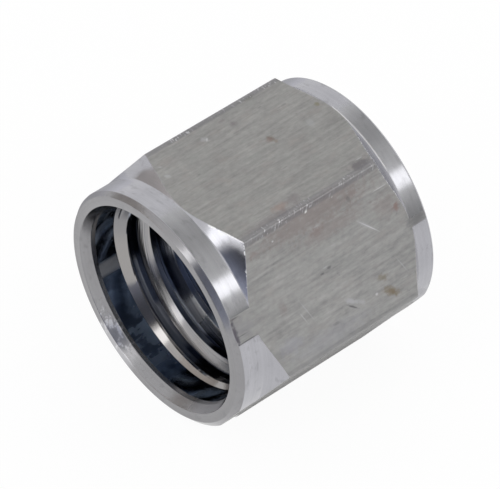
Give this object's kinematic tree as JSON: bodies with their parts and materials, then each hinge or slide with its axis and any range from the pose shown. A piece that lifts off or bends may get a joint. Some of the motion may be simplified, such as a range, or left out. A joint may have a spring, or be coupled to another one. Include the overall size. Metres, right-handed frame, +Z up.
{
  "type": "threaded protection cap",
  "caption": "Short hexagonal metal cap with a blind internal thread and turned ends, screwed over an externally threaded port or fitting to protect it.",
  "frame": {"origin": "on the surface the cap lies on, under the middle of its length: the bottom centre of its bounding box", "axes": "+Y along the thread's axis from the open end to the closed end, +Z up, square to the hexagon flat that the cap lies on"},
  "size_m": [0.0196, 0.0166, 0.017],
  "materials": {
    "bright_metal": "bright drawn hexagon bar with satin flats, turned ends and a polished bore"
  },
  "bodies": {
    "root": {"cap": "bright_metal"}
  },
  "joints": []
}
